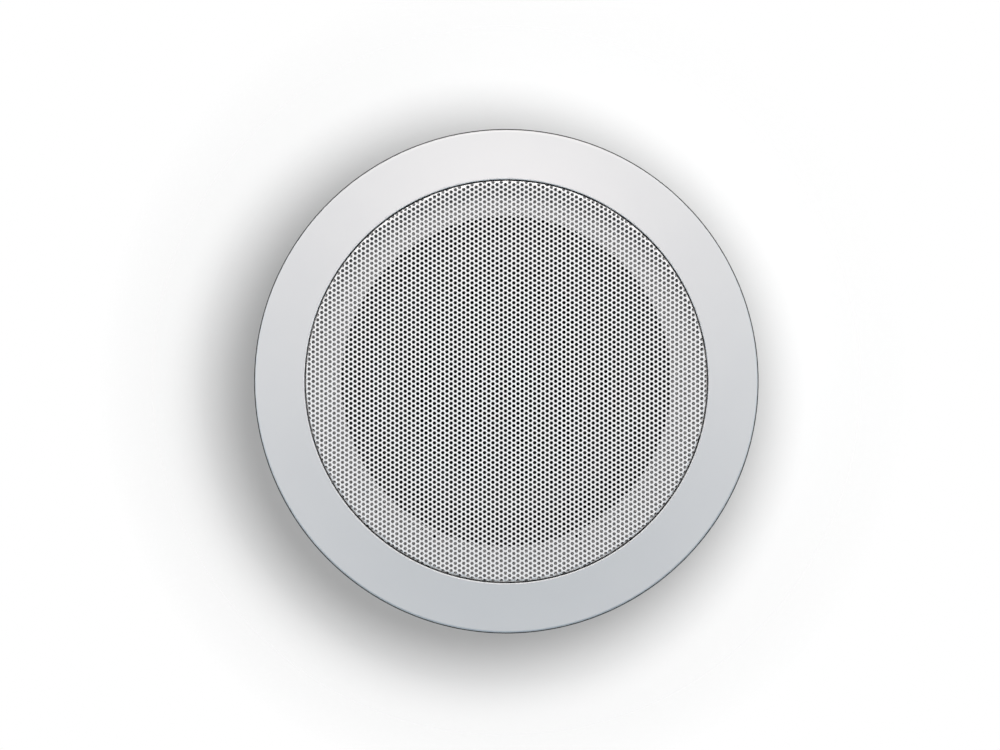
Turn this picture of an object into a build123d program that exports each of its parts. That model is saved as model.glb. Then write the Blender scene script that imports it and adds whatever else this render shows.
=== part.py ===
from build123d import *
from math import cos, degrees, hypot, radians, sin
import os

# Round in-ceiling speaker, in millimetres. The grille faces down (-Z) and the driver stands up (+Z)
# into the ceiling void. The origin is the centre of the plane where the gasket meets the ceiling.

# Driver, from the coil outwards
coil_radius = 13.0          # outside of the former
former_wall = 0.4
winding_thickness = 0.6
winding_length = 10.0
cone_radius = 45.0
cone_lip = 3.0              # flat rim that the surround is glued to
cone_wall = 0.8
dust_cap_radius = 17.5
dust_cap_height = 5.0
dust_cap_wall = 0.5
roll_width = 15.0           # half roll of the surround
roll_height = 6.5
surround_wall = 0.8
surround_lip = 6.0          # flat rim glued to the basket
spider_glue_width = 3.5     # on the basket's shelf and on the former
spider_edge_clearance = 1.5 # from the corrugations to the shelf
spider_wall = 0.6
spider_wave = 1.2           # half height of a corrugation
spider_waves = 3

# Driver, basket and magnet
basket_sheet = 1.2
basket_wall_start = 1.5     # from the surround's roll to the sloping wall
shelf_radius = 44.0         # shelf that carries the spider
shelf_width = 10.0
shelf_depth = 20.2          # behind the front of the basket
platform_radius = 31.0      # bottom of the basket, on the top plate
platform_depth = 28.2
window_count = 6
spoke_width = 14.0
spoke_channel_width = 6.5   # channel pressed outwards along each spoke
spoke_channel_height = 1.2
window_margin = 2.4         # metal left above and below a window
top_plate_radius = 36.0
top_plate_thickness = 5.0
magnet_radius = 40.0
magnet_bore_radius = 18.0
magnet_thickness = 14.0
back_plate_radius = 36.0
back_plate_thickness = 5.0
plate_chamfer = 0.8
pole_clearance = 0.4        # pole to former
gap_clearance = 0.6         # winding to top plate
vent_radius = 4.5

# Terminal strip and leads
strip_width = 26.0
strip_length = 15.0
strip_thickness = 1.6
strip_inset = 7.5           # from the edge of the spider's shelf
tag_thickness = 0.8
tag_spacing = 16.0
plus_tag_width = 4.8
minus_tag_width = 2.8
tag_length = 17.0
tag_overhang = 9.5          # blade past the strip
tag_chamfer = 0.6
tag_hole_radius = 0.6       # catch for the receptacle
tag_hole_inset = 3.2        # from the blade's tip
tag_rivet_radius = 1.5
tag_rivet_head_radius = 2.4
tag_rivet_head = 0.8
tag_rivet_inset = 3.0       # from the edge of the shelf
lead_diameter = 1.2
lead_hole_clearance = 0.2
lead_inset = 2.0            # from the strip's outer edge
lead_cone_inset = 15.0      # from the cone's lip to where the lead leaves it
lead_rise = 5.0
lead_bend = 4.0

# Frame moulding, outwards from the driver
wall = 2.4
aperture_clearance = 1.2
driver_land_width = 7.8
driver_land_height = 1.4
land_margin = 1.0
driver_gasket_thickness = 1.0
baffle_thickness = 2.6
pocket_clearance = 1.5      # driver to clip pocket
clip_pocket_depth = 5.4
clip_pocket_width = 25.0
skirt_top = 26.0            # above the ceiling's lower face
bezel_width = 20.2
bezel_rise = 4.0
bezel_crown = 0.12
bezel_lip = 0.5             # flat front edge round the grille
lip_fillet = 0.3
rim_thickness = 2.0
rim_fillet = 1.0
rim_land_width = 5.6
rib_count = 24
rib_width = 1.6
witness_hole_radius = 1.2
witness_hole_angle = 25.0   # either side of -Y
witness_hole_inset = 2.2    # from the aperture

# Ceiling gasket and grille
gasket_thickness = 1.6
gasket_overhang = 0.45
grille_gap = 0.6
grille_setback = 0.2
grille_sheet = 0.6
grille_depth = 8.2
grille_bend = 1.0
grille_rib_count = 12
grille_rib_width = 2.0
grille_rib_setback = 4.4
grille_rib_clearance = 0.1
hole_pitch = 14.0           # one drawn hole for each 7 x 7 patch of the 2 mm perforation
hole_radius = 4.2
hole_margin = 1.2

# Driver screws
screw_count = 4
screw_start_angle = 45.0
screw_radius = 1.7
screw_engagement = 3.2
screw_clearance = 0.05
screw_hole_clearance = 0.4
screw_head_radius = 3.6
screw_head_height = 2.4
screw_head_chamfer = 0.8

# Spring clips
clip_count = 3
clip_start_angle = 90.0
bracket_sheet = 1.0
bracket_width = 18.0
bracket_margin = 1.0        # to the pocket's floor and to the skirt's top
ear_radius = 2.8
pin_height = 18.6
pin_radius = 1.25
pin_head_radius = 2.0
pin_head = 0.6
press_clearance = 0.02
running_clearance = 0.05
side_clearance = 0.4        # arm to bracket ear
spring_bore_radius = 1.7
spring_radius = 2.65
spring_wire = 0.8
spring_length = 4.6
spring_leg_inset = 0.15     # from the coil's end
spring_clearance = 0.25     # spring to bracket
spring_seat_clearance = 0.1
spring_fixed_leg = 5.0
spring_moving_leg = 11.0
arm_rest_angle = 25.0       # below the horizontal
arm_length = 18.5
arm_sheet = 0.9
arm_flange_end = 11.0
lug_radius = 2.4
stop_clearance = 0.3
web_start = 3.6
pad_length = 6.0
pad_wall = 1.2
pad_side = 0.8
pad_fillet = 1.0
rivet_radius = 1.6
rivet_head_radius = 2.8
rivet_head = 0.9
rivet_tail_radius = 2.4
rivet_tail = 0.9
rivet_height = 10.5

# Radii that follow
roll_radius = cone_radius + roll_width
surround_radius = roll_radius + surround_lip
aperture_radius = surround_radius + aperture_clearance
basket_radius = aperture_radius + driver_land_width
screw_circle = (aperture_radius + basket_radius) / 2
land_radius = basket_radius + land_margin
pocket_inner = basket_radius + pocket_clearance
pocket_outer = pocket_inner + wall
skirt_radius = pocket_outer + clip_pocket_depth
opening_radius = skirt_radius - wall
flange_radius = opening_radius + bezel_width
gasket_radius = flange_radius + gasket_overhang
grille_radius = opening_radius - grille_gap
winding_radius = coil_radius + winding_thickness
gap_radius = winding_radius + gap_clearance
pole_radius = coil_radius - former_wall - pole_clearance
platform_hole = gap_radius + gap_clearance
shelf_edge = shelf_radius - shelf_width
tag_rivet_place = shelf_radius - tag_rivet_inset
strip_start = shelf_radius - strip_inset
strip_end = strip_start + strip_length
lead_place = strip_end - lead_inset
clip_wall = pocket_outer + bracket_sheet
pin_offset = spring_radius + spring_clearance
pin_place = clip_wall + pin_offset

# Clip sizes that follow, with the arm drawn along +X from its pin
bracket_half = bracket_width / 2
arm_half = bracket_half - bracket_sheet - side_clearance
web_top = -spring_radius - spring_seat_clearance
web_bottom = web_top - arm_sheet
spring_mean_radius = (spring_bore_radius + spring_radius) / 2

# Heights that follow
rim_rear = -gasket_thickness
rim_front = rim_rear - rim_thickness
lip_front = rim_front - bezel_rise
grille_front = lip_front + grille_setback
baffle_front = grille_front + grille_depth
baffle_rear = baffle_front + baffle_thickness
land_rear = baffle_rear + driver_land_height
basket_front = land_rear + driver_gasket_thickness
basket_rear = basket_front + basket_sheet
shelf_front = basket_front + shelf_depth
shelf_rear = shelf_front + basket_sheet
strip_rear = shelf_rear + strip_thickness
platform_front = basket_front + platform_depth
top_plate_front = platform_front + basket_sheet
magnet_front = top_plate_front + top_plate_thickness
back_plate_front = magnet_front + magnet_thickness
back_plate_rear = back_plate_front + back_plate_thickness
gap_middle = top_plate_front + top_plate_thickness / 2
pocket_floor = baffle_rear + wall

# Cone line, from its flat lip to the coil
cone_lip_radius = cone_radius - cone_lip
lead_cone_radius = cone_lip_radius - lead_cone_inset
cone_neck_radius = coil_radius + running_clearance
cone_neck = shelf_front - spider_wall - 2 * cone_wall
cone_slope = (cone_neck - basket_front) / (cone_lip_radius - cone_neck_radius)


def cone_front(radius):
    """Height of the cone's front face at a radius."""
    return basket_front + (cone_lip_radius - radius) * cone_slope


def turned(*outline):
    """A solid turned round Z from a closed (radius, height) outline."""
    return revolve(Plane.XZ * make_face(Polyline(*outline, close=True)), Axis.Z)


def ring(inner, outer, bottom, top):
    return turned((inner, bottom), (outer, bottom), (outer, top), (inner, top))


def pressed(path, thickness):
    """A sheet of even thickness turned round Z, to the left of a (radius, height) path."""
    section = offset(path, amount=thickness, side=Side.LEFT, kind=Kind.INTERSECTION)
    return revolve(Plane.XZ * make_face(section), Axis.Z)


def upright(radius, bottom, top):
    return Pos(0, 0, bottom) * Cylinder(radius, top - bottom, align=(Align.CENTER, Align.CENTER, Align.MIN))


def slab(profile, side, thickness):
    """A profile in X and Z given thickness along Y, from side towards +Y."""
    return extrude(Plane.XZ.offset(-side - thickness) * profile, thickness)


def block(x, y, z):
    """A box between pairs of limits."""
    size = Box(x[1] - x[0], y[1] - y[0], z[1] - z[0], align=(Align.MIN, Align.MIN, Align.MIN))
    return Pos(x[0], y[0], z[0]) * size


def around(shape, count, start=0.0):
    """Copies of a shape spaced evenly round Z."""
    return [Rot(0, 0, start + 360 * n / count) * shape for n in range(count)]


def frame():
    """White moulding: bezel, recess, baffle and skirt."""
    bezel_start = opening_radius + bezel_lip
    slope = bezel_rise / (flange_radius - bezel_start)
    underside = lip_front + wall * hypot(1, slope)
    pocket_end = flange_radius - rim_land_width
    face = SagittaArc((bezel_start, lip_front), (flange_radius, rim_front), bezel_crown)
    outline = face + Polyline(
        (flange_radius, rim_front),
        (flange_radius, rim_rear),
        (pocket_end, rim_rear),
        (pocket_end, underside + (pocket_end - bezel_start) * slope),
        (skirt_radius, underside + (skirt_radius - bezel_start) * slope),
        (skirt_radius, skirt_top),
        (opening_radius, skirt_top),
        (opening_radius, baffle_rear),
        (land_radius, baffle_rear),
        (land_radius, land_rear),
        (aperture_radius, land_rear),
        (aperture_radius, baffle_front),
        (opening_radius, baffle_front),
        (opening_radius, lip_front),
        (bezel_start, lip_front),
    )
    section = make_face(outline)
    rim_corner = section.vertices().sort_by_distance((flange_radius, rim_front))[0]
    section = fillet(rim_corner, rim_fillet)
    lip_corner = section.vertices().sort_by_distance((opening_radius, lip_front))[0]
    section = fillet(lip_corner, lip_fillet)
    body = revolve(Plane.XZ * section, Axis.Z)

    # Radial ribs under the bezel, from the skirt to the rim
    rib_start = skirt_radius - wall / 2
    rib_end = pocket_end + wall / 2
    rib = block((rib_start, rib_end), (-rib_width / 2, rib_width / 2), (lip_front, rim_rear))
    below_face = turned((rib_start, underside + (skirt_radius - bezel_start) * slope - wall / 2),
                        (rib_end, underside + (pocket_end - bezel_start) * slope - wall / 2),
                        (rib_end, rim_rear), (rib_start, rim_rear))
    body += around(rib & below_face, rib_count)

    # Short ribs in the recess that grip the grille's rim
    grip = ring(grille_radius + grille_rib_clearance, opening_radius + wall / 2,
                lip_front + grille_rib_setback, baffle_front)
    grip &= block((0, flange_radius), (-grille_rib_width / 2, grille_rib_width / 2),
                  (lip_front, baffle_front))
    body += around(grip, grille_rib_count, 180 / grille_rib_count)

    # Flat-walled pockets in the skirt for the clips
    half_width = clip_pocket_width / 2
    housing = block((pocket_inner, flange_radius), (-half_width - wall, half_width + wall),
                    (baffle_rear, skirt_top)) & upright(skirt_radius, baffle_rear, skirt_top)
    pocket = block((pocket_outer, flange_radius), (-half_width, half_width), (pocket_floor, skirt_top))
    rivet_hole = Pos(pocket_inner + wall / 2, 0, rivet_height) * Rot(0, 90, 0) * Cylinder(
        rivet_radius + press_clearance, 2 * wall)
    body += around(housing, clip_count, clip_start_angle)
    body -= around(pocket, clip_count, clip_start_angle)
    body -= around(rivet_hole, clip_count, clip_start_angle)

    # Pilot holes for the driver screws, and two small holes through the baffle
    pilot = Pos(screw_circle, 0, 0) * upright(screw_radius + screw_clearance,
                                              land_rear - screw_engagement - screw_clearance, land_rear)
    body -= around(pilot, screw_count, screw_start_angle)
    witness_hole = Pos(aperture_radius + witness_hole_inset, 0, 0) * upright(
        witness_hole_radius, baffle_front, land_rear)
    body -= [Rot(0, 0, 270 + side * witness_hole_angle) * witness_hole for side in (-1, 1)]
    return body


def ceiling_gasket():
    return ring(flange_radius - rim_land_width, gasket_radius, rim_rear, 0)


def grille():
    """Steel pan that stands on the baffle by its rim, with the perforation drawn at a coarser pitch."""
    path = FilletPolyline((0, grille_front), (grille_radius, grille_front), (grille_radius, baffle_front),
                          radius=grille_bend)
    pan = pressed(path, grille_sheet)
    reach = grille_radius - grille_bend - hole_margin - hole_radius
    columns = 2 * int(reach / hole_pitch) + 3
    lattice = HexLocations(hole_pitch / 2, columns, columns)
    middle = min(lattice, key=lambda place: hypot(place.position.X, place.position.Y)).position
    holes = [Pos(place.position - middle) for place in lattice
             if hypot(place.position.X - middle.X, place.position.Y - middle.Y) <= reach]
    pan -= [hole * upright(hole_radius, lip_front, grille_front + 2 * grille_sheet) for hole in holes]
    return pan


def driver_gasket():
    body = ring(surround_radius, basket_radius, land_rear, basket_front)
    hole = Pos(screw_circle, 0, 0) * upright(screw_radius + screw_hole_clearance, land_rear, basket_front)
    return body - around(hole, screw_count, screw_start_angle)


def basket():
    """Pressed steel frame of the driver, open between its spokes."""
    wall_start = roll_radius + basket_wall_start
    path = Polyline((platform_hole, platform_front), (platform_radius, platform_front),
                    (shelf_edge, shelf_front), (shelf_radius, shelf_front),
                    (wall_start, basket_front), (basket_radius, basket_front))
    body = pressed(path, basket_sheet)
    middle_radius = (shelf_radius + wall_start) / 2
    spoke_angle = degrees(spoke_width / middle_radius)
    low = basket_rear + window_margin
    high = shelf_front - window_margin
    window_section = Plane.XZ * make_face(Polyline((shelf_edge, low), (basket_radius, low),
                                                   (basket_radius, high), (shelf_edge, high), close=True))
    window = revolve(window_section, Axis.Z, 360 / window_count - spoke_angle)
    body -= around(window, window_count, 90 - (360 / window_count - spoke_angle) / 2)
    half_width = spoke_channel_width / 2
    channel = pressed(path, basket_sheet + spoke_channel_height) & block(
        (shelf_edge, basket_radius), (-half_width, half_width), (low, high))
    hollow = pressed(path, spoke_channel_height) & block(
        (shelf_edge, basket_radius), (basket_sheet - half_width, half_width - basket_sheet),
        (low + basket_sheet, high - basket_sheet))
    body += around(channel, window_count, 90 + 180 / window_count)
    body -= around(hollow, window_count, 90 + 180 / window_count)
    screw_hole = Pos(screw_circle, 0, 0) * upright(
        screw_radius + screw_hole_clearance, basket_front, basket_rear)
    body -= around(screw_hole, screw_count, screw_start_angle)
    body -= Pos(0, tag_rivet_place, 0) * upright(tag_rivet_radius + press_clearance, shelf_front, shelf_rear)
    return body


def surround():
    """Half roll that bulges towards the grille, glued to the cone and to the basket."""
    top = (cone_radius + roll_width / 2, basket_front - roll_height)
    path = Polyline((cone_lip_radius, basket_front), (cone_radius, basket_front))
    path += ThreePointArc((cone_radius, basket_front), top, (roll_radius, basket_front))
    path += Polyline((roll_radius, basket_front), (surround_radius, basket_front))
    return revolve(Plane.XZ * make_face(offset(path, amount=surround_wall, side=Side.RIGHT)), Axis.Z)


def cone():
    path = Polyline((cone_neck_radius, cone_neck), (cone_lip_radius, basket_front),
                    (cone_radius, basket_front))
    return pressed(path, cone_wall)


def dust_cap():
    rim = cone_front(dust_cap_radius)
    sphere_radius = (dust_cap_radius ** 2 + dust_cap_height ** 2) / (2 * dust_cap_height)
    path = RadiusArc((0, rim - dust_cap_height), (dust_cap_radius, rim), -sphere_radius)
    return revolve(Plane.XZ * make_face(offset(path, amount=dust_cap_wall, side=Side.RIGHT)), Axis.Z)


def coil_former():
    return ring(coil_radius - former_wall, coil_radius, cone_neck - cone_wall,
                gap_middle + winding_length / 2 + cone_wall)


def voice_coil():
    return ring(coil_radius, winding_radius, gap_middle - winding_length / 2, gap_middle + winding_length / 2)


def spider():
    """Corrugated disc between the former and the basket's shelf."""
    start = coil_radius + running_clearance
    wave_start = start + spider_glue_width / 2
    wave_end = shelf_edge - spider_edge_clearance
    step = (wave_end - wave_start) / (2 * spider_waves + 1)
    level = shelf_front - spider_wall
    crests = [(wave_start + step * (n + 0.5), level - spider_wave * (-1) ** n)
              for n in range(2 * spider_waves + 1)]
    path = Polyline((start, level), (wave_start, level), *crests, (wave_end, level),
                    (shelf_edge + spider_glue_width, level))
    return pressed(path, spider_wall)


def top_plate():
    return ring(gap_radius, top_plate_radius, top_plate_front, magnet_front)


def magnet():
    return turned((magnet_bore_radius, magnet_front), (magnet_radius - plate_chamfer, magnet_front),
                  (magnet_radius, magnet_front + plate_chamfer),
                  (magnet_radius, back_plate_front - plate_chamfer),
                  (magnet_radius - plate_chamfer, back_plate_front), (magnet_bore_radius, back_plate_front))


def pole_yoke():
    """Back plate and pole in one, bored through for the vent."""
    return turned((vent_radius, top_plate_front), (pole_radius, top_plate_front),
                  (pole_radius, back_plate_front), (back_plate_radius, back_plate_front),
                  (back_plate_radius, back_plate_rear - plate_chamfer),
                  (back_plate_radius - plate_chamfer, back_plate_rear), (vent_radius, back_plate_rear))


def tag_strip():
    outline = Pos(0, (strip_start + strip_end) / 2) * Rectangle(strip_width, strip_length)
    outline = fillet(outline.vertices(), strip_thickness)
    outline -= Pos(0, tag_rivet_place) * Circle(tag_rivet_radius + press_clearance)
    outline -= [Pos(side * tag_spacing / 2, lead_place) * Circle(lead_diameter / 2 + lead_hole_clearance)
                for side in (-1, 1)]
    return extrude(Plane.XY.offset(shelf_rear) * outline, strip_thickness)


def tag(side, width):
    """Blade tag that lies on the strip and sticks out past it."""
    end = strip_end + tag_overhang
    outline = Pos(side * tag_spacing / 2, end - tag_length / 2) * Rectangle(width, tag_length)
    tip = outline.vertices().sort_by(Axis.Y)[-2:]
    hole = Pos(side * tag_spacing / 2, end - tag_hole_inset) * Circle(tag_hole_radius)
    outline = chamfer(tip, tag_chamfer) - hole
    return extrude(Plane.XY.offset(strip_rear) * outline, tag_thickness)


def tag_rivet():
    return Pos(0, tag_rivet_place, 0) * (
        upright(tag_rivet_radius, shelf_front, strip_rear)
        + upright(tag_rivet_head_radius, shelf_front - tag_rivet_head, shelf_front)
        + upright(tag_rivet_head_radius, strip_rear, strip_rear + tag_rivet_head))


def tinsel_leads():
    """Two limp leads from the back of the cone, out through a window and up to the tags."""
    side = tag_spacing / 2
    cone_rear = cone_front(hypot(side, lead_cone_radius)) + cone_wall * hypot(1, cone_slope)
    start = (side, lead_cone_radius, cone_rear + lead_diameter / 2)
    crest = (side, lead_cone_radius + lead_rise, cone_rear + lead_diameter / 2 + lead_rise)
    corner = (side, lead_place, crest[2])
    end = (side, lead_place, strip_rear)
    path = FilletPolyline(start, crest, corner, end, radius=lead_bend)
    lead = sweep(Plane(path @ 0, z_dir=path % 0) * Circle(lead_diameter / 2), path)
    return Compound([lead, mirror(lead, Plane.YZ)])


def driver_screws():
    head_top = basket_rear + screw_head_height
    screw = turned((0, land_rear - screw_engagement), (screw_radius, land_rear - screw_engagement),
                   (screw_radius, basket_rear), (screw_head_radius, basket_rear),
                   (screw_head_radius, head_top - screw_head_chamfer),
                   (screw_head_radius - screw_head_chamfer, head_top), (0, head_top))
    return Compound(around(Pos(screw_circle, 0, 0) * screw, screw_count, screw_start_angle))


def at_pin(shape):
    """A shape drawn round the arm's pin, turned to the arm's rest angle and put in place."""
    return Pos(pin_place, 0, pin_height) * Rot(0, arm_rest_angle, 0) * shape


def clip_bracket():
    """U-shaped steel bracket, riveted to the pocket's flat wall."""
    base = block((pocket_outer, clip_wall), (-bracket_half, bracket_half),
                 (pocket_floor + bracket_margin, skirt_top - bracket_margin))
    base -= Pos(pocket_outer, 0, rivet_height) * Rot(0, 90, 0) * Cylinder(
        rivet_radius + press_clearance, 4 * bracket_sheet)
    ear = Pos((pocket_outer + pin_place) / 2, pin_height) * Rectangle(
        pin_place - pocket_outer, 2 * ear_radius)
    ear += Pos(pin_place, pin_height) * Circle(ear_radius)
    ear -= Pos(pin_place, pin_height) * Circle(pin_radius + press_clearance)
    return base + [slab(ear, side, bracket_sheet) for side in (-bracket_half, bracket_half - bracket_sheet)]


def clip_pin():
    shaft = Cylinder(pin_radius, bracket_width)
    heads = [Pos(0, 0, side * (bracket_half + pin_head / 2)) * Cylinder(pin_head_radius, pin_head)
             for side in (-1, 1)]
    return Pos(pin_place, 0, pin_height) * Rot(90, 0, 0) * (shaft + heads)


def arm_web():
    return block((web_start, arm_length), (-arm_half, arm_half), (web_bottom, web_top))


def clip_arm():
    """Folded steel arm: two flanges on the pin and a web between them. Its heel rests on the bracket."""
    angle = radians(arm_rest_angle)
    heel = (-(pin_offset - stop_clearance) - web_bottom * sin(angle)) / cos(angle)
    flange = make_face(Polyline((heel, web_bottom), (arm_flange_end, web_bottom), (arm_flange_end, web_top),
                                (lug_radius, lug_radius), (0, lug_radius), (-lug_radius, 0), close=True))
    flange += Circle(lug_radius)
    flange -= Circle(pin_radius + running_clearance)
    flanges = [slab(flange, side, arm_sheet) for side in (-arm_half, arm_half - arm_sheet)]
    return at_pin(arm_web() + flanges)


def clip_spring():
    """Torsion spring: close coil on the pin, one leg up the bracket and one along the arm."""
    coil = Cylinder(spring_radius, spring_length) - Cylinder(spring_bore_radius, spring_length)
    leg_side = (spring_length - spring_wire) / 2 - spring_leg_inset
    fixed_leg = Pos(-spring_mean_radius, leg_side, 0) * upright(spring_wire / 2, 0, spring_fixed_leg)
    moving_leg = Pos(0, -leg_side, -spring_mean_radius) * Rot(0, 90, 0) * upright(
        spring_wire / 2, 0, spring_moving_leg)
    return Pos(pin_place, 0, pin_height) * (
        Rot(90, 0, 0) * coil + fixed_leg + Rot(0, arm_rest_angle, 0) * moving_leg)


def clip_pad():
    """Rubber boot over the arm's tip."""
    length = pad_length + pad_wall
    height = arm_sheet + 2 * pad_wall
    outline = Pos(arm_length + pad_wall - length / 2, (web_top + web_bottom) / 2) * RectangleRounded(
        length, height, pad_fillet)
    boot = slab(outline, -arm_half - pad_side, 2 * (arm_half + pad_side))
    return at_pin(boot - arm_web())


def clip_rivet():
    """Rivet through the bracket and the pocket's wall."""
    tail_end = pocket_inner - rivet_tail
    head_end = clip_wall + rivet_head
    profile = make_face(Polyline((0, tail_end), (rivet_tail_radius, tail_end),
                                 (rivet_tail_radius, pocket_inner), (rivet_radius, pocket_inner),
                                 (rivet_radius, clip_wall), (rivet_head_radius, clip_wall),
                                 (rivet_head_radius / 2, head_end), (0, head_end), close=True))
    return Pos(0, 0, rivet_height) * Rot(0, 90, 0) * revolve(Plane.XZ * profile, Axis.Z)


pieces = {
    "frame": frame(),
    "ceiling_gasket": ceiling_gasket(),
    "grille": grille(),
    "driver_gasket": driver_gasket(),
    "basket": basket(),
    "surround": surround(),
    "cone": cone(),
    "dust_cap": dust_cap(),
    "coil_former": coil_former(),
    "voice_coil": voice_coil(),
    "spider": spider(),
    "top_plate": top_plate(),
    "magnet": magnet(),
    "pole_yoke": pole_yoke(),
    "tag_strip": tag_strip(),
    "tag_plus": tag(-1, plus_tag_width),
    "tag_minus": tag(1, minus_tag_width),
    "tag_rivet": tag_rivet(),
    "tinsel_leads": tinsel_leads(),
    "driver_screws": driver_screws(),
}
clip_pieces = {
    "clip_bracket": clip_bracket(),
    "clip_pin": clip_pin(),
    "clip_arm": clip_arm(),
    "clip_spring": clip_spring(),
    "clip_pad": clip_pad(),
    "clip_rivet": clip_rivet(),
}
for name, shape in clip_pieces.items():
    for number, copy in enumerate(around(shape, clip_count, clip_start_angle), 1):
        pieces[f"{name}_{number}"] = copy

os.makedirs("parts", exist_ok=True)
for name, shape in pieces.items():
    export_step(shape, f"parts/{name}.step")
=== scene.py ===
"""Looks of the round in-ceiling speaker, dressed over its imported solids.

Outlines and places on the speaker are written in millimetres, which MM turns into metres. The studio round
it is in metres.
"""
import math

import bmesh
import bpy
from mathutils import Matrix, Vector


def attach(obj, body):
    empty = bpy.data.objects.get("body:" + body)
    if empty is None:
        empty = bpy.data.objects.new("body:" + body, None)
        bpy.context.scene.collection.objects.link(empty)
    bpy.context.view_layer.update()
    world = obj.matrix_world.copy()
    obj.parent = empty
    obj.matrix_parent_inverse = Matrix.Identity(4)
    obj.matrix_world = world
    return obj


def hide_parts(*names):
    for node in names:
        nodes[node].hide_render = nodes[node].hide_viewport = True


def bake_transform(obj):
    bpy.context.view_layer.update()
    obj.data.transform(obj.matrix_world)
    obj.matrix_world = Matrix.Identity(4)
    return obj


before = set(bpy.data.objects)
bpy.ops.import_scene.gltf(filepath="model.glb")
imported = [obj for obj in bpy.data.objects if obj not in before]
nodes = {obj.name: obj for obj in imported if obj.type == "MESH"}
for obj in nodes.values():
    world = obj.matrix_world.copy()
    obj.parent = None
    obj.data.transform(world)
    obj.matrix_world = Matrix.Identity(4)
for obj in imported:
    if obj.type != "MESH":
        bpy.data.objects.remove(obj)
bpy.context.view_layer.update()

# Frame. One injection moulding in white ABS: the broad ring that shows under the ceiling, the recess
# for the grille, the baffle with the driver's opening, and the skirt that stands in the cut-out.
# The tool is spark-eroded, so the plastic is satin and not glossy.
MM = 0.001


def linear(hex_colour):
    """A colour written as sRGB hex, as the linear values that a shader takes."""
    shares = [int(hex_colour[i:i + 2], 16) / 255 for i in (1, 3, 5)]
    return [s / 12.92 if s <= 0.04045 else ((s + 0.055) / 1.055) ** 2.4 for s in shares] + [1.0]


def new_finish(name, colour, **sockets):
    """A material, its shader and its object coordinates. The sockets hold all over the surface."""
    material = bpy.data.materials.new(name)
    material.use_nodes = True
    shader = material.node_tree.nodes["Principled BSDF"]
    shader.inputs["Base Color"].default_value = linear(colour)
    for socket, value in sockets.items():
        shader.inputs[socket.replace("_", " ")].default_value = value
    place = material.node_tree.nodes.new("ShaderNodeTexCoord")
    return material, shader, place


def add_node(material, kind, settings, takes=None, gives=None):
    """A node with its settings and links: takes {input: (node, output)}, gives {output: (node, input)}.

    An input is named, or numbered where it shares its name.
    """
    tree = material.node_tree
    node = tree.nodes.new(kind)
    for name, value in settings.items():
        if name in node.inputs:
            node.inputs[name].default_value = value
        else:
            setattr(node, name, value)
    for name, (source, output) in (takes or {}).items():
        tree.links.new(source.outputs[output], node.inputs[name])
    for name, (target, socket) in (gives or {}).items():
        tree.links.new(node.outputs[name], target.inputs[socket])
    return node


def dress(material, *names):
    """Gives CAD nodes a finish."""
    for name in names:
        for slot in nodes[name].material_slots:
            slot.material = material


# Moulded ABS: the spark texture breaks up the gloss, and flow in the tool leaves faint clouds.
ABS_GRAIN = 0.35 * MM
ABS_CLOUD = 14 * MM
satin_abs, shader, place = new_finish("satin_white_abs", "#DCDDDE", IOR=1.53)
grain = add_node(satin_abs, "ShaderNodeTexNoise", {"Scale": 1 / ABS_GRAIN, "Detail": 3.0},
                 {"Vector": (place, "Object")})
cloud = add_node(satin_abs, "ShaderNodeTexNoise", {"Scale": 1 / ABS_CLOUD, "Detail": 2.0},
                 {"Vector": (place, "Object")})
add_node(satin_abs, "ShaderNodeMixRGB", {"Color1": linear("#DBDCDD"), "Color2": linear("#DEDFDF")},
         {"Fac": (cloud, "Fac")}, {"Color": (shader, "Base Color")})
add_node(satin_abs, "ShaderNodeMapRange", {"To Min": 0.36, "To Max": 0.48},
         {"Value": (cloud, "Fac")}, {"Result": (shader, "Roughness")})
add_node(satin_abs, "ShaderNodeBump", {"Strength": 0.5, "Distance": 0.012 * MM},
         {"Height": (grain, "Fac")}, {"Normal": (shader, "Normal")})
dress(satin_abs, "frame")

# Ceiling gasket. A flat ring of closed-cell foam, die-cut and stuck to the rim's back. It stands out a
# little past the plastic and seals against the ceiling, so it shows from the front as a thin dark line.
GASKET_INNER = 96.5
GASKET_OUTER = 102.55
GASKET_FRONT = -1.6         # on the rim's back, and the other face is at 0, the ceiling
GASKET_ROUND = [(0.3, 0), (0.05, 0.15), (0, 0.4)]   # in from the outer edge, and in from either face
FOAM_CELL = 0.5 * MM
SPIN_STEPS = 256
MERGE = 0.002 * MM          # points this close are one


def lathe(name, profile, steps):
    """A wall drawn in (radius, height) millimetres by extruding a vertex along, then spun round Z."""
    points = [Vector((radius, 0, height)) * MM for radius, height in profile]
    bpy.ops.object.select_all(action="DESELECT")
    bpy.ops.mesh.primitive_plane_add(size=MM)
    bpy.ops.object.mode_set(mode="EDIT")
    bpy.ops.mesh.select_mode(type="VERT")
    bpy.ops.mesh.merge(type="CENTER")
    bpy.ops.transform.translate(value=points[0])
    for here, there in zip(points, points[1:]):
        bpy.ops.mesh.extrude_region_move(TRANSFORM_OT_translate={"value": there - here})
    bpy.ops.mesh.select_all(action="SELECT")
    bpy.ops.mesh.spin(steps=steps, angle=2 * math.pi, center=(0, 0, 0), axis=(0, 0, 1))
    bpy.ops.mesh.select_all(action="SELECT")
    bpy.ops.mesh.remove_doubles(threshold=MERGE)
    bpy.ops.mesh.normals_make_consistent(inside=False)
    bpy.ops.object.mode_set(mode="OBJECT")
    piece = bpy.context.object
    piece.name = name
    piece.data.name = name
    return piece


def pick(piece):
    """Selects one piece alone, for the operators that follow."""
    bpy.ops.object.select_all(action="DESELECT")
    piece.select_set(True)
    bpy.context.view_layer.objects.active = piece


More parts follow.
